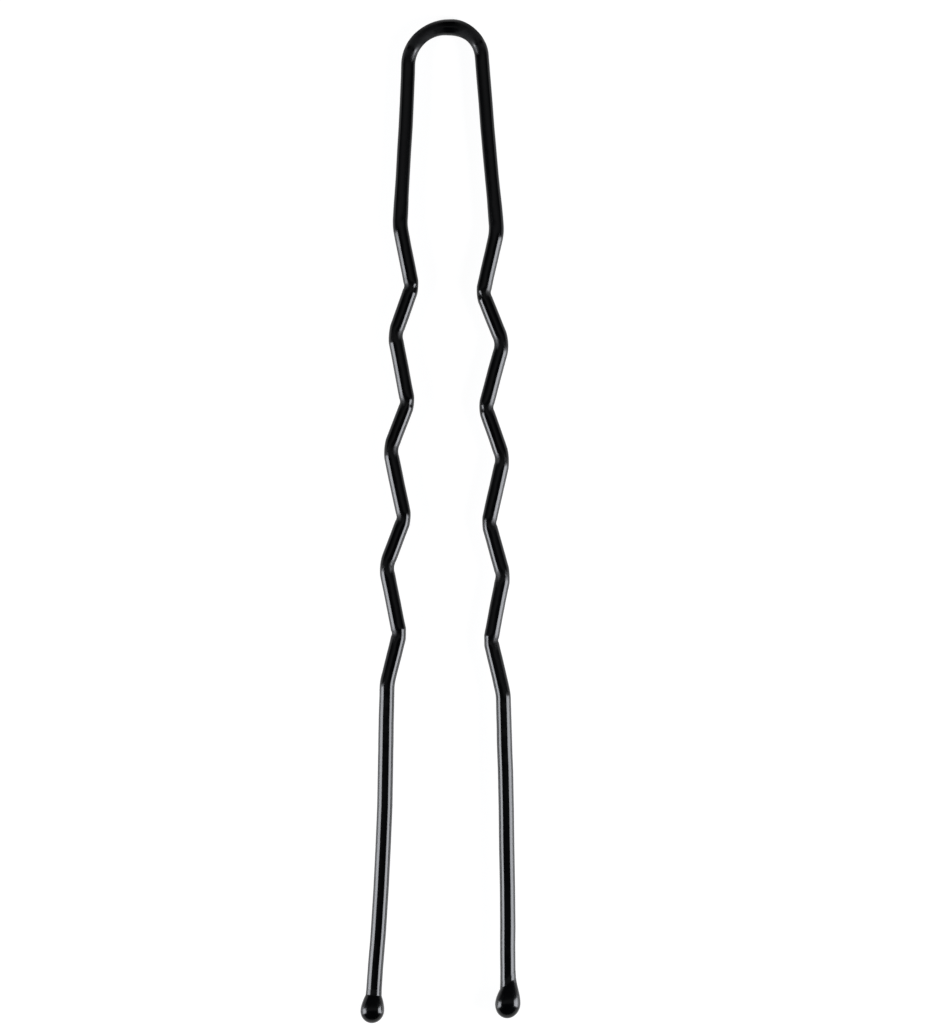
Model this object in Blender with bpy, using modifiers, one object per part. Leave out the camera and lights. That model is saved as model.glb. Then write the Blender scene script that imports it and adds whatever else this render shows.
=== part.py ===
"""French hair pin, lying flat: a long U of lacquered steel wire with crimped legs and resin tips.

Units are metres and +Z is up. The loop points to +Y and the two tips to -Y. The origin is on the
floor, under the middle of the pin's outline. The wire is one line through corners, and each corner
is bent to an arc.
"""

import collections
import math

import bpy
import numpy as np
from mathutils import Vector

NAME = "french_hair_pin"

# Widths are measured between the centre lines of the two legs, and lengths along Y.
WIRE_DIAMETER = 0.00105
LOOP_WIDTH = 0.00487
SHOULDER_WIDTH = 0.00673
FOOT_WIDTH = 0.00815
TIP_WIDTH = 0.00945
SHANK_LENGTH = 0.01390
CRIMP_LENGTH = 0.03257
TAIL_LENGTH = 0.02280

# How far the wire swings from the straight line: both shanks inwards, and each crimp and tail by a
# share of its size.
SHANK_BOW = 0.00006
CRIMP_DEPTH = 0.00100
TAIL_BOW = 0.00036

# The bend radii, on the wire's centre line, of the loop's corners, of the crimps, and of the soft
# bends at the two ends of the crimped stretch.
LOOP_BEND = 0.00272
OUTER_BEND = 0.00200
INNER_BEND = 0.00140
END_BEND = 0.00350

# The lacquer is thinner high on the pin and thicker beside the crown's middle, and the crimping die
# pressed the bends. Girths are shares of WIRE_DIAMETER.
SHANK_GIRTH_SHARE = 0.94
TAIL_GIRTH_SHARE = 1.02
PRESSED_GIRTH_SHARE = 0.93
SWELL_SHARE = 0.17
SWELL_REACH = 0.00110
SWELL_PLACE = 0.00052

# The resin tips, which are drops. The wire ends level with a drop's widest place.
DROP_WALL = 0.00029
DROP_UNDER = 0.00103
DROP_NECK = 0.00142
DROP_LIP = 0.00002
DROP_FIT = 0.00003

# Fineness of the faceted surface.
WIRE_SIDES = 16
DROP_SIDES = 24
DROP_ROWS = 9
BEND_STEP = math.radians(8)
FEWEST_STEPS = 4
MERGE_DISTANCE = 0.000001

# The most of a run that the arcs at its two ends may take up.
RUN_USED_SHARE = 0.98

# The finishes: colour and roughness.
LACQUER = ((0.010, 0.010, 0.011), 0.16)
RESIN = ((0.008, 0.008, 0.009), 0.10)

# The bends of each leg's crimped stretch, from the shoulder to the foot. Columns: how far down it the
# bend is, as a share of CRIMP_LENGTH, and how far outside the line from shoulder to foot, as a share
# of CRIMP_DEPTH.
LEFT_CRIMPS = (
    # down, swing
    (-0.002, 0.05),
    (0.129, -0.94),
    (0.231, 0.18),
    (0.377, -0.89),
    (0.477, 0.28),
    (0.624, -0.89),
    (0.727, 0.32),
    (0.871, -0.78),
    (0.978, 0.00),
)
RIGHT_CRIMPS = (
    # down, swing
    (0.011, -0.01),
    (0.144, -1.05),
    (0.250, 0.29),
    (0.388, -0.98),
    (0.497, 0.20),
    (0.635, -0.87),
    (0.747, 0.10),
    (0.886, -0.84),
    (1.002, -0.01),
)

# Bent wire is never quite even. side points away from the other leg. top, shoulder, foot and tip are
# the leg's shares of the widths at the crown, shoulder, foot and tip. corner, tail and bow are its
# shares of LOOP_BEND, TAIL_LENGTH and TAIL_BOW, drop of DROP_WALL and DROP_UNDER, and neck of DROP_NECK.
Leg = collections.namedtuple("Leg", "side top shoulder foot tip corner tail bow drop neck crimps")
LEGS = {
    "left": Leg(-1, 0.520, 0.471, 0.507, 0.541, 1.000, 1.000, -0.92, 0.85, 0.76, LEFT_CRIMPS),
    "right": Leg(1, 0.480, 0.529, 0.493, 0.459, 0.787, 0.944, 0.3, 1.00, 1.00, RIGHT_CRIMPS),
}

# A corner of the wire's line, with the bend of its arc (None for the gentlest that fits), the wire's
# girth beside it and its girth at the middle of the arc.
Corner = collections.namedtuple("Corner", "x y bend girth pressed")


def leg_corners(leg):
    """A leg's corners from the crown down to the wire's end, with the crown's middle at (0, 0)."""
    shoulder = leg.shoulder * SHOULDER_WIDTH
    foot = leg.foot * FOOT_WIDTH
    tip = leg.tip * TIP_WIDTH
    top = leg.top * LOOP_WIDTH
    waist = (top + shoulder) / 2 - SHANK_BOW
    corners = [
        Corner(leg.side * top, 0.0, leg.corner * LOOP_BEND, SHANK_GIRTH_SHARE, SHANK_GIRTH_SHARE),
        Corner(leg.side * waist, -SHANK_LENGTH / 2, None, SHANK_GIRTH_SHARE, SHANK_GIRTH_SHARE),
    ]
    for down, swing in leg.crimps:
        out = shoulder + down * (foot - shoulder) + swing * CRIMP_DEPTH
        y = -SHANK_LENGTH - down * CRIMP_LENGTH
        if (down, swing) in (leg.crimps[0], leg.crimps[-1]):
            corners.append(Corner(leg.side * out, y, END_BEND, 1.0, 1.0))
        else:
            bend = INNER_BEND if swing < 0 else OUTER_BEND
            corners.append(Corner(leg.side * out, y, bend, 1.0, PRESSED_GIRTH_SHARE))
    length = leg.tail * TAIL_LENGTH
    middle = (foot + tip) / 2 + leg.bow * TAIL_BOW
    corners.append(Corner(leg.side * middle, y - length / 2, None, TAIL_GIRTH_SHARE, TAIL_GIRTH_SHARE))
    corners.append(Corner(leg.side * tip, y - length, 0.0, TAIL_GIRTH_SHARE, TAIL_GIRTH_SHARE))
    return corners


def turn_at(before, corner, after):
    """How far the line turns at a corner, and the unit vectors from it to its two neighbours."""
    back = (Vector(before[:2]) - Vector(corner[:2])).normalized()
    ahead = (Vector(after[:2]) - Vector(corner[:2])).normalized()
    return math.pi - back.angle(ahead), back, ahead


def threes(items):
    """Each item but the first and the last, with its two neighbours."""
    return zip(items, items[1:], items[2:])


def arc_reaches(corners):
    """How far from each corner its arc begins, as its bend asks or less where a run is too short."""
    runs = [math.dist(corner[:2], after[:2]) for corner, after in zip(corners, corners[1:])]
    asked = [0.0]
    for (before, corner, after), run, next_run in zip(threes(corners), runs, runs[1:]):
        turn = turn_at(before, corner, after)[0]
        gentlest = min(run, next_run) / 2
        asked.append(gentlest if corner.bend is None else corner.bend * math.tan(turn / 2))
    asked.append(0.0)
    rooms = [min(1.0, run * RUN_USED_SHARE / (asked[i] + asked[i + 1])) for i, run in enumerate(runs)]
    rooms = [1.0] + rooms + [1.0]
    return [ask * min(room, next_room) for ask, room, next_room in zip(asked, rooms, rooms[1:])]


def arc(before, corner, after, reach):
    """Points (x, y, girth) along the arc that rounds a corner and begins this far from it."""
    turn, back, ahead = turn_at(before, corner, after)
    bend = reach / math.tan(turn / 2)
    middle = Vector(corner[:2]) + (back + ahead).normalized() * bend / math.cos(turn / 2)
    first = Vector(corner[:2]) + back * reach - middle
    way = -math.copysign(1, back.cross(ahead))
    steps = max(FEWEST_STEPS, math.ceil(turn / BEND_STEP))
    points = []
    for step in range(steps + 1):
        angle = way * turn * step / steps
        x = first.x * math.cos(angle) - first.y * math.sin(angle)
        y = first.x * math.sin(angle) + first.y * math.cos(angle)
        pressed = math.sin(math.pi * step / steps)
        girth = corner.girth + (corner.pressed - corner.girth) * pressed
        points.append((middle.x + x, middle.y + y, girth))
    return points


def swelled(x, y, girth):
    """The girth with the thick place beside the crown's middle added."""
    away = math.hypot(x - SWELL_PLACE, y) / SWELL_REACH
    return girth + SWELL_SHARE * math.exp(-away * away)


def wire_line():
    """Points (x, y, girth) from the left tip over the crown to the right tip."""
    corners = leg_corners(LEGS["left"])[::-1] + leg_corners(LEGS["right"])
    first, last = corners[0], corners[-1]
    points = [(first.x, first.y, first.girth)]
    for (before, corner, after), reach in zip(threes(corners), arc_reaches(corners)[1:]):
        points += arc(before, corner, after, reach)
    points.append((last.x, last.y, last.girth))
    return [(x, y, swelled(x, y, girth)) for x, y, girth in points]


def gloss(name, color, roughness):
    material = bpy.data.materials.new(name)
    material.use_nodes = True
    shader = material.node_tree.nodes["Principled BSDF"]
    shader.inputs["Base Color"].default_value = (*color, 1.0)
    shader.inputs["Roughness"].default_value = roughness
    shader.inputs["Metallic"].default_value = 0.0
    return material


def add(name, data, material, collection, parent):
    obj = bpy.data.objects.new(name, data)
    data.materials.append(material)
    collection.objects.link(obj)
    obj.parent = parent
    return obj


def wire(points, collection, parent):
    curve = bpy.data.curves.new("wire", "CURVE")
    curve.dimensions = "3D"
    curve.bevel_depth = WIRE_DIAMETER / 2
    curve.bevel_resolution = WIRE_SIDES // 2 - 2
    curve.use_fill_caps = True
    spline = curve.splines.new("POLY")
    spline.points.add(len(points) - 1)
    for point, (x, y, girth) in zip(spline.points, points):
        point.co = (x, y, 0.0, 1.0)
        point.radius = girth
    spline.use_smooth = True
    return add("wire", curve, gloss("black_lacquer", *LACQUER), collection, parent)


def bore_radius():
    return WIRE_DIAMETER / 2 * TAIL_GIRTH_SHARE + DROP_FIT


def drop_radius(leg):
    return bore_radius() + leg.drop * DROP_WALL


def drop_profile(leg):
    """Half of a drop's section as (radius, height), with the wire's end at height 0.

    It runs up the bore, over the lip and down the outside to the bottom.
    """
    neck = leg.neck * DROP_NECK
    under = leg.drop * DROP_UNDER
    widest = drop_radius(leg)
    lip = bore_radius() + DROP_LIP
    profile = [(0.0, -DROP_FIT), (bore_radius(), -DROP_FIT), (bore_radius(), neck)]
    for row in range(DROP_ROWS + 1):
        share = 1 - row / DROP_ROWS
        profile.append((widest - (widest - lip) * share * share, share * neck))
    for row in range(1, DROP_ROWS):
        angle = math.pi / 2 * row / DROP_ROWS
        profile.append((widest * math.cos(angle), -under * math.sin(angle)))
    return profile + [(0.0, -under)]


def drop(name, leg, end, before, material, collection, parent):
    """A turned drop over the wire's end, along the run that ends there."""
    profile = drop_profile(leg)
    mesh = bpy.data.meshes.new(name)
    mesh.from_pydata([(radius, 0.0, height) for radius, height in profile],
                     [(i, i + 1) for i in range(len(profile) - 1)], [])
    obj = add(name, mesh, material, collection, parent)
    screw = obj.modifiers.new("turn", "SCREW")
    screw.steps = screw.render_steps = DROP_SIDES
    screw.use_merge_vertices = True
    screw.merge_threshold = MERGE_DISTANCE
    screw.use_smooth_shade = True
    obj.location = (end[0], end[1], 0.0)
    along = Vector((before[0] - end[0], before[1] - end[1], 0.0))
    obj.rotation_euler = along.to_track_quat("Z", "Y").to_euler()
    return obj


def set_down(pin, supports):
    """Tilts and lifts the pin until its three round supports, each (x, y, radius), touch the floor."""
    places = [(x, y, 1.0) for x, y, radius in supports]
    slope_x, slope_y, height = np.linalg.solve(places, [radius for x, y, radius in supports])
    up = Vector((slope_x, slope_y, math.sqrt(1 - slope_x ** 2 - slope_y ** 2)))
    pin.rotation_euler = up.rotation_difference(Vector((0, 0, 1))).to_euler()
    pin.location.z = height


def centre(pin, pieces):
    """Moves the pin over the origin, by the middle of the pieces' outline and by their lowest point."""
    bpy.context.view_layer.update()
    graph = bpy.context.evaluated_depsgraph_get()
    points = []
    for piece in pieces:
        evaluated = piece.evaluated_get(graph)
        points += [evaluated.matrix_world @ vertex.co for vertex in evaluated.to_mesh().vertices]
        evaluated.to_mesh_clear()
    low, high = np.min(points, axis=0), np.max(points, axis=0)
    pin.location -= Vector(((low[0] + high[0]) / 2, (low[1] + high[1]) / 2, low[2]))


def main():
    for obj in list(bpy.data.objects):
        bpy.data.objects.remove(obj)
    collection = bpy.data.collections.new(NAME)
    bpy.context.scene.collection.children.link(collection)
    pin = bpy.data.objects.new("pin_at_rest", None)
    collection.objects.link(pin)

    points = wire_line()
    resin = gloss("black_resin", *RESIN)
    ends = {"left": (points[0], points[1]), "right": (points[-1], points[-2])}
    pieces = [wire(points, collection, pin)]
    crown_radius = WIRE_DIAMETER / 2 * swelled(SWELL_PLACE, 0.0, SHANK_GIRTH_SHARE)
    supports = [(SWELL_PLACE, 0.0, crown_radius)]
    for side, leg in LEGS.items():
        end, before = ends[side]
        pieces.append(drop("tip_" + side, leg, end, before, resin, collection, pin))
        supports.append((end[0], end[1], drop_radius(leg)))
    set_down(pin, supports)
    centre(pin, pieces)


main()
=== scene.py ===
"""Looks of the french hair pin: lacquered wire, resin tips, a white floor, low softboxes and the camera.

Units are metres, in the row frame: +Z is up, the loop points to +Y, and the pin lies on the floor at z = 0.
"""

import collections
import math

import bpy
import numpy as np
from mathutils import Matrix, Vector


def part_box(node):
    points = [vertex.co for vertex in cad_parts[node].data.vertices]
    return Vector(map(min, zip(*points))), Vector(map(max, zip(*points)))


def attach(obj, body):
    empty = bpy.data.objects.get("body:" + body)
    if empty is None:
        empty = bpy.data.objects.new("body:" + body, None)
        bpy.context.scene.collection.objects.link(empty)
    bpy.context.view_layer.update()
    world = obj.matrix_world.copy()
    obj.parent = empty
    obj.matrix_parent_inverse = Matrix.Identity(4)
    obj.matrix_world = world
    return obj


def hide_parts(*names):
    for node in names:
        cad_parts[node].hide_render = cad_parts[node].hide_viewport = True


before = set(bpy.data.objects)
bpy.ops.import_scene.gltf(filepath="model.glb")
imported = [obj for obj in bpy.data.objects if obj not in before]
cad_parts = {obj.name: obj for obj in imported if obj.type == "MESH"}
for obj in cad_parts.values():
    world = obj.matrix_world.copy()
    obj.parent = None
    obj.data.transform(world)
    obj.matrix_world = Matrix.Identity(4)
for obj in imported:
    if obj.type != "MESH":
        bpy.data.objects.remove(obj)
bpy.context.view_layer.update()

# The pin's line and thickness, as its source has them. Widths are between the centre lines of the legs.
WIRE_DIAMETER = 0.00105
LOOP_WIDTH = 0.00487
SHOULDER_WIDTH = 0.00673
FOOT_WIDTH = 0.00815
TIP_WIDTH = 0.00945
SHANK_LENGTH = 0.01390
CRIMP_LENGTH = 0.03257
TAIL_LENGTH = 0.02280
SHANK_BOW = 0.00006
CRIMP_DEPTH = 0.00100
TAIL_BOW = 0.00036
LOOP_BEND = 0.00272
OUTER_BEND = 0.00200
INNER_BEND = 0.00140
END_BEND = 0.00350
SHANK_GIRTH_SHARE = 0.94
TAIL_GIRTH_SHARE = 1.02
PRESSED_GIRTH_SHARE = 0.93
SWELL_SHARE = 0.17
SWELL_REACH = 0.00110
SWELL_PLACE = 0.00052
DROP_WALL = 0.00029
DROP_UNDER = 0.00103
DROP_NECK = 0.00142
DROP_FIT = 0.00003
RUN_USED_SHARE = 0.98

# Columns: how far down the crimped stretch a bend is, and how far outside the straight line.
LEFT_CRIMPS = (
    # down, swing
    (-0.002, 0.05),
    (0.129, -0.94),
    (0.231, 0.18),
    (0.377, -0.89),
    (0.477, 0.28),
    (0.624, -0.89),
    (0.727, 0.32),
    (0.871, -0.78),
    (0.978, 0.00),
)
RIGHT_CRIMPS = (
    # down, swing
    (0.011, -0.01),
    (0.144, -1.05),
    (0.250, 0.29),
    (0.388, -0.98),
    (0.497, 0.20),
    (0.635, -0.87),
    (0.747, 0.10),
    (0.886, -0.84),
    (1.002, -0.01),
)
Leg = collections.namedtuple("Leg", "side top shoulder foot tip corner tail bow drop neck crimps")
LEGS = {
    "left": Leg(-1, 0.520, 0.471, 0.507, 0.541, 1.000, 1.000, -0.92, 0.85, 0.76, LEFT_CRIMPS),
    "right": Leg(1, 0.480, 0.529, 0.493, 0.459, 0.787, 0.944, 0.3, 1.00, 1.00, RIGHT_CRIMPS),
}
Corner = collections.namedtuple("Corner", "x y bend girth pressed")

# Fineness of the finished surfaces.
WIRE_SIDES = 40
RUN_STEP = 0.00022
BEND_STEP = math.radians(2.0)
FEWEST_STEPS = 4
DROP_SIDES = 72
DROP_ROWS = 44
FILM_ROWS = 10
SHARP_ANGLE = math.radians(60)

# The die's grooved teeth pressed the inner bends from outside, each on the two flanks of its groove:
# depth and half length of these marks, how far past the bend's middle they are towards the tips, how
# far below the crown they are still full and where they have run out, and how narrow they are round the
# wire. At every crimp the wire also spread up and down, by a share of its radius.
MARK_DEPTH = 0.000050
MARK_REACH = 0.00023
MARK_SHIFT = 0.00010
MARK_FULL_DOWN = 0.0210
MARK_NONE_DOWN = 0.0345
MARK_POWER = 4
SPREAD_SHARE = 0.05

# The die scuffed the lacquer in the hollow of each crimp: how far along the wire from its middle, how
# steeply the scuff fades round the wire, and how far a point is pressed that counts as a middle.
SCUFF_REACH = 0.00048
SCUFF_STEEPNESS = 2
MIDDLE_PRESSED = 0.99

# On the worn bends of the loop a spot is rubbed bright again: how bright (0 to 1), and its place and
# half length as shares of the bend, counted from the shank.
RUBBED = 0.70
RUBBED_PLACE = 0.27
RUBBED_REACH = 0.045

# Unevenness of the lacquered wire: waves of its line and of its girth. Columns: length and height, which
# is in metres for the line and a share of the girth for the girth. WAVE_PHASE sets each wave off.
LINE_WAVES = ((0.0083, 0.000009), (0.0034, 0.000004))
GIRTH_WAVES = ((0.0061, 0.0050), (0.0019, 0.0035), (0.0009, 0.0020))
WAVE_PHASE = 1.7

# The drops as they cured lying down: how much wider each is than high, how far it leans sideways by its
# bottom, how much higher its neck starts on the +X side than in the middle, how softly the neck runs
# out on the -X and on the +X side (0 to 1).
Cure = collections.namedtuple("Cure", "wide lean skew soft_left soft_right")
CURES = {
    "left": Cure(1.013, -0.00004, 0.00000, 0.15, 0.15),
    "right": Cure(1.035, -0.00007, 0.00040, 0.12, 0.65),
}

# How full a drop's section is where it is widest: 2 is a circle, more is flatter above and below.
FULLNESS = 2.3

# Above the neck a film of resin crept up the wire: its length and thickness, how thin it feathers out
# at its top, and the play between the wire and the resin's bore.
FILM_LENGTH = 0.00048
FILM = 0.000018
FEATHER = 0.000004
BORE_PLAY = 0.000002

# The lacquer. Scales are in features a metre, and a range runs over the patches, smudges or grain.
LACQUER_IOR = 1.42
LACQUER_DARK = (0.0012, 0.0013, 0.0018)
LACQUER_DUSTY = (0.0085, 0.0090, 0.0096)
LACQUER_ROUGHNESS = (0.10, 0.14)
PRESSED_DULL = (0.02, 0.09)
WORN_DULL = (0.42, 0.80)
SCUFFED_DULL = (0.25, 0.45)
PATCH_TONE = (0.0, 0.20)
DUST_TONE = (0.0, 0.9)
PATCH_SCALE = 260.0
GRAIN_SCALE = 5200.0
SMUDGE_SCALE = 2200.0
PEEL_SCALE = 1500.0
PEEL_HEIGHT = 0.0000030
GRAIN_SHARE = 0.12

# The resin.
RESIN_IOR = 1.42
RESIN_DARK = (0.0009, 0.0010, 0.0013)
RESIN_LIGHT = (0.0018, 0.0019, 0.0024)
RESIN_ROUGHNESS = (0.17, 0.22)
RESIN_PATCH_SCALE = 900.0
SKIN_SCALE = 1900.0
SKIN_HEIGHT = 0.0000008

# The white floor, which glows as a light table does.
FLOOR_SIZE = 12.0
FLOOR_COLOR = (0.20, 0.20, 0.20, 1.0)
FLOOR_ROUGHNESS = 0.15
GLOW_COLOR = (1.0, 1.0, 1.0, 1.0)
GLOW = 0.91

# The studio's brightness by the direction looked in, of which Y points past the loop and Z up. A ramp
# goes from one strength to another between two values of that direction.
Ramp = collections.namedtuple("Ramp", "low high from_low from_high")
CEILING_BEGINS = Ramp(0.02, 0.45, -0.03, 0.055)
CEILING_ENDS = Ramp(1.0, 0.15, 0.08, 0.30)
CEILING_RISES = Ramp(0.12, 1.0, 0.35, 0.95)
HORIZON = Ramp(1.0, 0.0, 0.01, 0.10)
STUDIO_COLOR = (0.985, 0.995, 1.02, 1.0)

# Places of the colour sockets of a mix node.
MIX_FIRST, MIX_SECOND, MIX_RESULT = 6, 7, 2

# The photograph's frame in pixels, the pixels to a metre there, and the pixel of the pin's middle.
FRAME_WIDTH = 949
FRAME_HEIGHT = 1024
PIXELS_PER_METRE = 14343
PIN_PIXEL = (440.65, 520.98)
LENS_MM = 300
SENSOR_MM = 36
CLIP_START = 0.01

# The photograph is printed with deep shadows.
PRINT_GAMMA = 0.85

# The softboxes, one on each side: distance from the pin, the places along Y and Z where they begin and
# end, and colour and brightness.
SOFTBOX_DISTANCE = 0.160
SOFTBOX_BACK = -0.002
SOFTBOX_FRONT = -0.090
SOFTBOX_BOTTOM = 0.002
SOFTBOX_TOPS = {"left": 0.120, "right": 0.138}
SOFTBOX_COLOR = (0.96, 0.98, 1.03)
SOFTBOX_RADIANCE = 13.5


def leg_corners(leg):
    """A leg's corners from the crown down to the wire's end, with the crown's middle at (0, 0)."""
    shoulder = leg.shoulder * SHOULDER_WIDTH
    foot = leg.foot * FOOT_WIDTH
    tip = leg.tip * TIP_WIDTH
    top = leg.top * LOOP_WIDTH
    waist = (top + shoulder) / 2 - SHANK_BOW
    corners = [
        Corner(leg.side * top, 0.0, leg.corner * LOOP_BEND, SHANK_GIRTH_SHARE, SHANK_GIRTH_SHARE),
        Corner(leg.side * waist, -SHANK_LENGTH / 2, None, SHANK_GIRTH_SHARE, SHANK_GIRTH_SHARE),
    ]
    for down, swing in leg.crimps:
        out = shoulder + down * (foot - shoulder) + swing * CRIMP_DEPTH
        y = -SHANK_LENGTH - down * CRIMP_LENGTH
        if (down, swing) in (leg.crimps[0], leg.crimps[-1]):
            corners.append(Corner(leg.side * out, y, END_BEND, 1.0, 1.0))
        else:
            bend = INNER_BEND if swing < 0 else OUTER_BEND
            corners.append(Corner(leg.side * out, y, bend, 1.0, PRESSED_GIRTH_SHARE))
    length = leg.tail * TAIL_LENGTH
    middle = (foot + tip) / 2 + leg.bow * TAIL_BOW
    corners.append(Corner(leg.side * middle, y - length / 2, None, TAIL_GIRTH_SHARE, TAIL_GIRTH_SHARE))
    corners.append(Corner(leg.side * tip, y - length, 0.0, TAIL_GIRTH_SHARE, TAIL_GIRTH_SHARE))
    return corners


def turn_at(before, corner, after):
    """How far the line turns at a corner, and the unit vectors from it to its two neighbours."""
    back = (Vector(before[:2]) - Vector(corner[:2])).normalized()
    ahead = (Vector(after[:2]) - Vector(corner[:2])).normalized()
    return math.pi - back.angle(ahead), back, ahead


def threes(items):
    """Each item but the first and the last, with its two neighbours."""
    return zip(items, items[1:], items[2:])


def arc_reaches(corners):
    """How far from each corner its arc begins, as its bend asks or less where a run is too short."""
    runs = [math.dist(corner[:2], after[:2]) for corner, after in zip(corners, corners[1:])]
    asked = [0.0]
    for (before, corner, after), run, next_run in zip(threes(corners), runs, runs[1:]):
        turn = turn_at(before, corner, after)[0]
        gentlest = min(run, next_run) / 2
        asked.append(gentlest if corner.bend is None else corner.bend * math.tan(turn / 2))
    asked.append(0.0)
    rooms = [min(1.0, run * RUN_USED_SHARE / (asked[i] + asked[i + 1])) for i, run in enumerate(runs)]
    rooms = [1.0] + rooms + [1.0]
    return [ask * min(room, next_room) for ask, room, next_room in zip(asked, rooms, rooms[1:])]


# A point of the wire's line: its place, its heading, the girth there, how far the die pressed it and how
# far its lacquer is worn (0 to 1), how deep a tooth marked it, and the side its inside is on (1 left,
# -1 right).
Point = collections.namedtuple("Point", "x y heading girth pressed worn mark inside")


def mark_depth(corner):
    """How deep a tooth marked this bend: only the inner ones are marked, and less further down."""
    if corner.bend != INNER_BEND:
        return 0.0
    fade = (MARK_NONE_DOWN + corner.y) / (MARK_NONE_DOWN - MARK_FULL_DOWN)
    return MARK_DEPTH * min(1.0, max(0.0, fade))


def wear(corner, share):
    """How far the lacquer is worn at a share of a bend's arc: only the loop's two bends are."""
    if corner.bend is None or corner.y != 0.0:
        return 0.0
    from_shank = (share if corner.x < 0 else 1 - share) - RUBBED_PLACE
    return math.sin(math.pi * share) * (1 - RUBBED * math.exp(-(from_shank / RUBBED_REACH) ** 2))


def arc(before, corner, after, reach):
    """The arc that rounds a corner and begins this far from it."""
    turn, back, ahead = turn_at(before, corner, after)
    bend = reach / math.tan(turn / 2)
    middle = Vector(corner[:2]) + (back + ahead).normalized() * bend / math.cos(turn / 2)
    first = Vector(corner[:2]) + back * reach - middle
    way = -math.copysign(1, back.cross(ahead))
    heading = math.atan2(-back.y, -back.x)
    crimped = corner.pressed < corner.girth
    depth = mark_depth(corner)
    towards_tip = -math.copysign(MARK_SHIFT, math.sin(heading))
    steps = max(FEWEST_STEPS, math.ceil(turn / BEND_STEP))
    points = []
    for step in range(steps + 1):
        share = step / steps
        angle = way * turn * share
        x = first.x * math.cos(angle) - first.y * math.sin(angle)
        y = first.x * math.sin(angle) + first.y * math.cos(angle)
        pressed = math.sin(math.pi * share)
        girth = corner.girth + (corner.pressed - corner.girth) * pressed
        away = ((share - 0.5) * turn * bend - towards_tip) / MARK_REACH
        mark = depth * math.exp(-away * away) * pressed
        points.append(Point(middle.x + x, middle.y + y, heading + angle, girth,
                            pressed if crimped else 0.0, wear(corner, share), mark, way))
    return points


def eased(share):
    """The share from 0 to 1 with a soft start and end."""
    return share * share * (3 - 2 * share)


def run_between(first, last):
    """Points on the straight run between two points of the line, without its ends."""
    length = math.dist(first[:2], last[:2])
    steps = max(1, round(length / RUN_STEP))
    heading = math.atan2(last.y - first.y, last.x - first.x)
    points = []
    for step in range(1, steps):
        share = step / steps
        girth = first.girth + eased(share) * (last.girth - first.girth)
        points.append(Point(first.x + share * (last.x - first.x), first.y + share * (last.y - first.y),
                            heading, girth, 0.0, 0.0, 0.0, 1))
    return points


def wire_line():
    """The wire's line from the left tip over the crown to the right tip."""
    corners = leg_corners(LEGS["left"])[::-1] + leg_corners(LEGS["right"])
    pieces = []
    for (before, corner, after), reach in zip(threes(corners), arc_reaches(corners)[1:]):
        pieces.append(arc(before, corner, after, reach))
    first, last = corners[0], corners[-1]
    start = Point(first.x, first.y, pieces[0][0].heading, first.girth, 0.0, 0.0, 0.0, 1)
    end = Point(last.x, last.y, pieces[-1][-1].heading, last.girth, 0.0, 0.0, 0.0, 1)
    points = [start]
    for piece in pieces + [[end]]:
        points += run_between(points[-1], piece[0]) + piece
    return points


def waves(length, rows):
    """A smooth unevenness at a distance along the wire, as a sum of waves that don't repeat together."""
    return sum(height * math.sin(2 * math.pi * length / wave + WAVE_PHASE * row)
               for row, (wave, height) in enumerate(rows))


def swelled(x, y, girth):
    """The girth with the thick place beside the crown's middle added."""
    away = math.hypot(x - SWELL_PLACE, y) / SWELL_REACH
    return girth + SWELL_SHARE * math.exp(-away * away)


def angles_round(sides):
    return np.arange(sides) * 2 * math.pi / sides


def wire_rings(points, uneven=True):
    """The wire's surface in the pin's plane, as rings of points with shape (rings, sides, 3)."""
    angles = angles_round(WIRE_SIDES)
    rings = []
    length = 0.0
    previous = points[0]
    for point in points:
        length += math.dist(previous[:2], point[:2])
        previous = point
        girth = swelled(point.x, point.y, point.girth)
        sideways = 0.0
        radius = np.full(WIRE_SIDES, WIRE_DIAMETER / 2 * girth)
        if uneven:
            radius *= 1 + waves(length, GIRTH_WAVES)
            sideways = waves(length, LINE_WAVES)
            outside = point.inside * np.cos(angles) < 0
            radius -= point.mark * np.where(outside, np.sin(2 * angles) ** MARK_POWER, 0.0)
        across = radius * np.cos(angles) + sideways
        up = radius * (1 + SPREAD_SHARE * point.pressed) * np.sin(angles)
        left = (-math.sin(point.heading), math.cos(point.heading))
        rings.append(np.column_stack([point.x + across * left[0], point.y + across * left[1], up]))
    return np.array(rings)


def scuffs(points):
    """How far each point of the wire's surface is scuffed (0 to 1), ring after ring."""
    angles = angles_round(WIRE_SIDES)
    middles = [point for point in points if point.pressed > MIDDLE_PRESSED]
    rings = []
    for point in points:
        nearest = min(middles, key=lambda middle: math.dist(middle[:2], point[:2]))
        away = math.dist(nearest[:2], point[:2]) / SCUFF_REACH
        hollow = np.clip(SCUFF_STEEPNESS * nearest.inside * np.cos(angles), 0.0, 1.0)
        rings.append(math.exp(-away * away) * hollow)
    return np.concatenate(rings)


def drop_radius(leg):
    """The radius of a drop where it is widest."""
    return WIRE_DIAMETER / 2 * TAIL_GIRTH_SHARE + DROP_FIT + leg.drop * DROP_WALL


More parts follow.
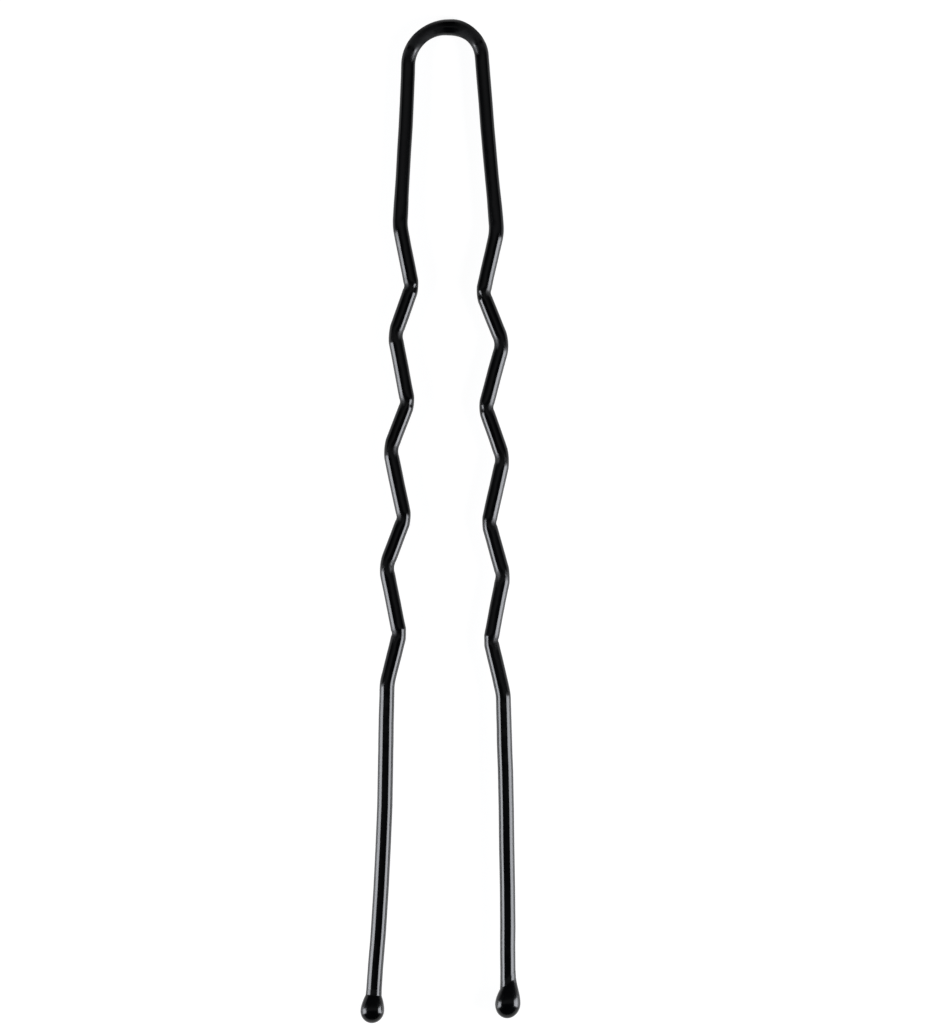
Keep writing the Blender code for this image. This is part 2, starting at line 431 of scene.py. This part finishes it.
def resting(points):
    """The turn that lays the pin's plane on its three supports, and the move to the CAD wire after it."""
    left, right = points[0], points[-1]
    crown = WIRE_DIAMETER / 2 * swelled(SWELL_PLACE, 0.0, SHANK_GIRTH_SHARE)
    supports = ((SWELL_PLACE, 0.0, crown),
                (left.x, left.y, drop_radius(LEGS["left"])),
                (right.x, right.y, drop_radius(LEGS["right"])))
    places = [(x, y, 1.0) for x, y, radius in supports]
    slope_x, slope_y, _ = np.linalg.solve(places, [radius for x, y, radius in supports])
    up = Vector((slope_x, slope_y, math.sqrt(1 - slope_x ** 2 - slope_y ** 2)))
    turn = np.array(up.rotation_difference(Vector((0, 0, 1))).to_matrix())
    even = wire_rings(points, uneven=False).reshape(-1, 3) @ turn.T
    low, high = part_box("wire")
    move = (np.array(low) + np.array(high)) / 2 - (even.min(axis=0) + even.max(axis=0)) / 2
    return turn, move


def tube_faces(rings, sides):
    """Quads between neighbouring rings, all round."""
    faces = []
    for ring in range(rings - 1):
        for side in range(sides):
            beside = (side + 1) % sides
            faces.append((ring * sides + side, ring * sides + beside,
                          (ring + 1) * sides + beside, (ring + 1) * sides + side))
    return faces


def mesh_object(name, points, faces, material):
    mesh = bpy.data.meshes.new(name)
    mesh.from_pydata(points.tolist(), [], faces)
    mesh.materials.append(material)
    mesh.shade_smooth()
    mesh.set_sharp_from_angle(angle=SHARP_ANGLE)
    obj = bpy.data.objects.new(name, mesh)
    bpy.context.scene.collection.objects.link(obj)
    return obj


def paint(mesh, name, values):
    """A value for each point of the mesh, which its material can read by this name."""
    attribute = mesh.attributes.new(name, "FLOAT", "POINT")
    attribute.data.foreach_set("value", np.asarray(values, np.float32))


def make_wire(points, turn, move, material):
    rings = wire_rings(points)
    count = len(rings)
    faces = tube_faces(count, WIRE_SIDES)
    faces.append(tuple(range(WIRE_SIDES - 1, -1, -1)))
    faces.append(tuple(range((count - 1) * WIRE_SIDES, count * WIRE_SIDES)))
    obj = mesh_object("lacquered_wire", rings.reshape(-1, 3) @ turn.T + move, faces, material)
    paint(obj.data, "pressed", np.repeat([point.pressed for point in points], WIRE_SIDES))
    paint(obj.data, "worn", np.repeat([point.worn for point in points], WIRE_SIDES))
    paint(obj.data, "scuffed", scuffs(points))
    return obj


def drop_outline(leg, soft):
    """The drop's outside from its feathered top to its bottom, as rows of (radius, height, share of neck).

    soft says how softly the neck runs out at each angle round the drop, so a neck row has as many radii.
    """
    neck = leg.neck * DROP_NECK
    under = leg.drop * DROP_UNDER
    widest = drop_radius(leg)
    feather = WIRE_DIAMETER / 2 * TAIL_GIRTH_SHARE + FEATHER
    rows = []
    for row in range(FILM_ROWS):
        share = row / FILM_ROWS
        rows.append((feather + FILM * eased(share), neck + (1 - share) * FILM_LENGTH, 1.0))
    lip = feather + FILM
    for row in range(DROP_ROWS + 1):
        share = 1 - row / DROP_ROWS
        round_flare = 1 - share * share
        soft_flare = (1 + math.cos(math.pi * share)) / 2
        flare = round_flare + soft * (soft_flare - round_flare)
        rows.append((lip + (widest - lip) * flare, share * neck, share))
    for row in range(1, DROP_ROWS):
        angle = math.pi / 2 * row / DROP_ROWS
        rows.append((widest * math.cos(angle), -under * math.sin(angle), 0.0))
    return rows


def make_drop(side, end, turn, move, material):
    """A cured drop of resin over the wire's end, with a bore that the wire fills."""
    leg, cure = LEGS[side], CURES[side]
    angles = angles_round(DROP_SIDES)
    sideways, upwards = np.cos(angles), np.sin(angles)
    soft = cure.soft_left + (cure.soft_right - cure.soft_left) * (1 + sideways) / 2
    under = leg.drop * DROP_UNDER
    bore = WIRE_DIAMETER / 2 * TAIL_GIRTH_SHARE + BORE_PLAY
    neck = leg.neck * DROP_NECK
    heading = end.heading + (math.pi if side == "left" else 0.0)
    down = np.array([math.cos(heading), math.sin(heading), 0.0])
    across = np.array([-down[1], down[0], 0.0])
    if across[0] < 0:
        across = -across
    up = np.array([0.0, 0.0, 1.0])
    centre = np.array([end.x, end.y, 0.0])

    def ring(x, z, height, share):
        """A ring of points at these places across and up from the wire's line."""
        raised = height + cure.skew * share * sideways
        return centre + np.outer(x, across) + np.outer(z, up) - np.outer(raised, down)

    rings = [ring(bore * sideways, bore * upwards, height, share)
             for height, share in ((-BORE_PLAY, 0.0), (neck / 2, 0.5), (neck + FILM_LENGTH, 1.0))]
    for radius, height, share in drop_outline(leg, soft):
        lean = cure.lean * ((neck - height) / (neck + under)) ** 2
        wide = 1 + (cure.wide - 1) * (1 - share)
        power = 2 + (FULLNESS - 2) * (1 - share)
        full = radius * (abs(sideways) ** power + abs(upwards) ** power) ** (-1 / power)
        rings.append(ring(full * wide * sideways + lean, full * upwards, height, share))
    bottom = centre + across * cure.lean + down * under
    inside = centre + down * BORE_PLAY
    points = np.vstack([*rings, bottom, inside])
    faces = tube_faces(len(rings), DROP_SIDES)
    last = (len(rings) - 1) * DROP_SIDES
    pole, well = len(points) - 2, len(points) - 1
    for step in range(DROP_SIDES):
        beside = (step + 1) % DROP_SIDES
        faces.append((last + step, last + beside, pole))
        faces.append((beside, step, well))
    return mesh_object("resin_tip_" + side, points @ turn.T + move, faces, material)


def add_node(tree, kind, **settings):
    """A new node. A setting named like one of its sockets is that socket's value."""
    node = tree.nodes.new(kind)
    for name, value in settings.items():
        if name in node.inputs:
            node.inputs[name].default_value = value
        else:
            setattr(node, name, value)
    return node


def blank_material(name, **values):
    """A new material, its node tree and its shader, with socket values by name and _ for a space."""
    material = bpy.data.materials.new(name)
    material.use_nodes = True
    shader = material.node_tree.nodes["Principled BSDF"]
    for socket, value in values.items():
        shader.inputs[socket.replace("_", " ")].default_value = value
    return material, material.node_tree, shader


def noise(tree, coordinates, scale, detail):
    node = add_node(tree, "ShaderNodeTexNoise", Scale=scale, Detail=detail)
    tree.links.new(coordinates, node.inputs["Vector"])
    return node.outputs["Fac"]


def between(tree, value, low, high, from_low=0.3, from_high=0.7):
    """The value stretched to run from low to high. A noise stays mostly between 0.3 and 0.7."""
    node = add_node(tree, "ShaderNodeMapRange")
    node.inputs["From Min"].default_value = from_low
    node.inputs["From Max"].default_value = from_high
    node.inputs["To Min"].default_value = low
    node.inputs["To Max"].default_value = high
    tree.links.new(value, node.inputs["Value"])
    return node.outputs["Result"]


def combined(tree, operation, first, second):
    node = add_node(tree, "ShaderNodeMath", operation=operation)
    for socket, value in zip(node.inputs, (first, second)):
        if isinstance(value, (int, float)):
            socket.default_value = value
        else:
            tree.links.new(value, socket)
    return node.outputs["Value"]


def two_tone(tree, value, dark, light):
    node = add_node(tree, "ShaderNodeMix", data_type="RGBA")
    node.inputs[MIX_FIRST].default_value = (*dark, 1.0)
    node.inputs[MIX_SECOND].default_value = (*light, 1.0)
    tree.links.new(value, node.inputs["Factor"])
    return node.outputs[MIX_RESULT]


def painted(tree, name):
    """What paint() wrote on the mesh under this name."""
    return add_node(tree, "ShaderNodeAttribute", attribute_name=name).outputs["Fac"]


def add_bump(tree, shader, height, distance):
    bump = add_node(tree, "ShaderNodeBump", Distance=distance, Strength=1.0)
    tree.links.new(height, bump.inputs["Height"])
    tree.links.new(bump.outputs["Normal"], shader.inputs["Normal"])


def lacquer_material():
    """Gloss black lacquer over steel: flow waves, orange peel, and dull where it was pressed or worn."""
    material, tree, shader = blank_material("gloss_black_lacquer", IOR=LACQUER_IOR)
    place = add_node(tree, "ShaderNodeTexCoord").outputs["Object"]
    pressed, worn, scuffed = (painted(tree, name) for name in ("pressed", "worn", "scuffed"))
    patches = noise(tree, place, PATCH_SCALE, 3.0)
    grain = noise(tree, place, GRAIN_SCALE, 2.0)
    smudges = noise(tree, place, SMUDGE_SCALE, 3.0)
    dust = combined(tree, "MULTIPLY", worn, between(tree, smudges, *DUST_TONE))
    tone = combined(tree, "ADD", between(tree, patches, *PATCH_TONE), dust)
    tree.links.new(two_tone(tree, tone, LACQUER_DARK, LACQUER_DUSTY), shader.inputs["Base Color"])
    roughness = between(tree, patches, *LACQUER_ROUGHNESS)
    for place_worn, pattern, dull in ((pressed, grain, PRESSED_DULL), (worn, smudges, WORN_DULL),
                                      (scuffed, grain, SCUFFED_DULL)):
        added = combined(tree, "MULTIPLY", place_worn, between(tree, pattern, *dull))
        roughness = combined(tree, "ADD", roughness, added)
    tree.links.new(roughness, shader.inputs["Roughness"])
    peel = noise(tree, place, PEEL_SCALE, 1.5)
    height = combined(tree, "ADD", peel, combined(tree, "MULTIPLY", grain, GRAIN_SHARE))
    add_bump(tree, shader, height, PEEL_HEIGHT)
    return material


def resin_material():
    """Black resin that cured glossy, with a faint swell of its skin."""
    material, tree, shader = blank_material("gloss_black_resin", IOR=RESIN_IOR)
    place = add_node(tree, "ShaderNodeTexCoord").outputs["Object"]
    patches = noise(tree, place, RESIN_PATCH_SCALE, 2.0)
    tree.links.new(two_tone(tree, patches, RESIN_DARK, RESIN_LIGHT), shader.inputs["Base Color"])
    tree.links.new(between(tree, patches, *RESIN_ROUGHNESS), shader.inputs["Roughness"])
    add_bump(tree, shader, noise(tree, place, SKIN_SCALE, 1.0), SKIN_HEIGHT)
    return material


def make_floor():
    """A wide sheet of white acrylic that glows, so that it is pale far away too."""
    material, _, shader = blank_material("white_floor", Base_Color=FLOOR_COLOR, Roughness=FLOOR_ROUGHNESS)
    shader.inputs["Emission Color"].default_value = GLOW_COLOR
    shader.inputs["Emission Strength"].default_value = GLOW
    mesh = bpy.data.meshes.new("floor")
    half = FLOOR_SIZE / 2
    corners = [(-half, -half, 0), (half, -half, 0), (half, half, 0), (-half, half, 0)]
    mesh.from_pydata(corners, [], [(0, 1, 2, 3)])
    mesh.materials.append(material)
    floor = bpy.data.objects.new("floor", mesh)
    bpy.context.scene.collection.objects.link(floor)


def make_world():
    """Pale at the horizon and dim overhead, so that the wire's top stays black."""
    world = bpy.data.worlds.new("studio")
    bpy.context.scene.world = world
    world.use_nodes = True
    tree = world.node_tree
    split = add_node(tree, "ShaderNodeSeparateXYZ")
    tree.links.new(add_node(tree, "ShaderNodeTexCoord").outputs["Generated"], split.inputs["Vector"])
    begins = between(tree, split.outputs["Y"], *CEILING_BEGINS)
    ends = between(tree, split.outputs["Y"], *CEILING_ENDS)
    rises = between(tree, split.outputs["Z"], *CEILING_RISES)
    ceiling = combined(tree, "MULTIPLY", combined(tree, "MULTIPLY", begins, ends), rises)
    horizon = between(tree, split.outputs["Z"], *HORIZON)
    background = tree.nodes["Background"]
    tree.links.new(combined(tree, "ADD", ceiling, horizon), background.inputs["Strength"])
    background.inputs["Color"].default_value = STUDIO_COLOR


def make_softboxes():
    """A low softbox on each side of the crimps and lower legs, out of the camera's sight."""
    length = SOFTBOX_BACK - SOFTBOX_FRONT
    for name, top in SOFTBOX_TOPS.items():
        side = LEGS[name].side
        height = top - SOFTBOX_BOTTOM
        light = bpy.data.lights.new("softbox_" + name, "AREA")
        light.shape = "RECTANGLE"
        light.size = height
        light.size_y = length
        light.color = SOFTBOX_COLOR
        light.energy = SOFTBOX_RADIANCE * math.pi * length * height
        lamp = bpy.data.objects.new(light.name, light)
        lamp.location = (side * SOFTBOX_DISTANCE, (SOFTBOX_BACK + SOFTBOX_FRONT) / 2,
                         (top + SOFTBOX_BOTTOM) / 2)
        lamp.rotation_euler = (0.0, side * math.pi / 2, 0.0)
        lamp.visible_camera = False
        bpy.context.scene.collection.objects.link(lamp)


def make_camera(height_of_pin):
    """Straight down, so that each point of the pin falls on its pixel in the photograph."""
    data = bpy.data.cameras.new("camera")
    data.lens = LENS_MM
    data.sensor_width = SENSOR_MM
    data.clip_start = CLIP_START
    camera = bpy.data.objects.new("camera", data)
    view = FRAME_HEIGHT / PIXELS_PER_METRE
    distance = view * LENS_MM / SENSOR_MM
    camera.location = ((FRAME_WIDTH / 2 - PIN_PIXEL[0]) / PIXELS_PER_METRE,
                       (PIN_PIXEL[1] - FRAME_HEIGHT / 2) / PIXELS_PER_METRE,
                       height_of_pin + distance)
    bpy.context.scene.collection.objects.link(camera)
    bpy.context.scene.camera = camera


def main():
    scene = bpy.context.scene
    scene.view_settings.view_transform = "Standard"
    scene.view_settings.gamma = PRINT_GAMMA
    points = wire_line()
    turn, move = resting(points)
    resin = resin_material()
    wire = make_wire(points, turn, move, lacquer_material())
    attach(wire, "root")
    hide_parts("wire")
    for side, end in (("left", points[0]), ("right", points[-1])):
        tip = make_drop(side, end, turn, move, resin)
        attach(tip, "root")
        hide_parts("tip_" + side)
    make_floor()
    make_world()
    make_softboxes()
    low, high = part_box("wire")
    make_camera((low.z + high.z) / 2)
    bpy.context.view_layer.update()


main()
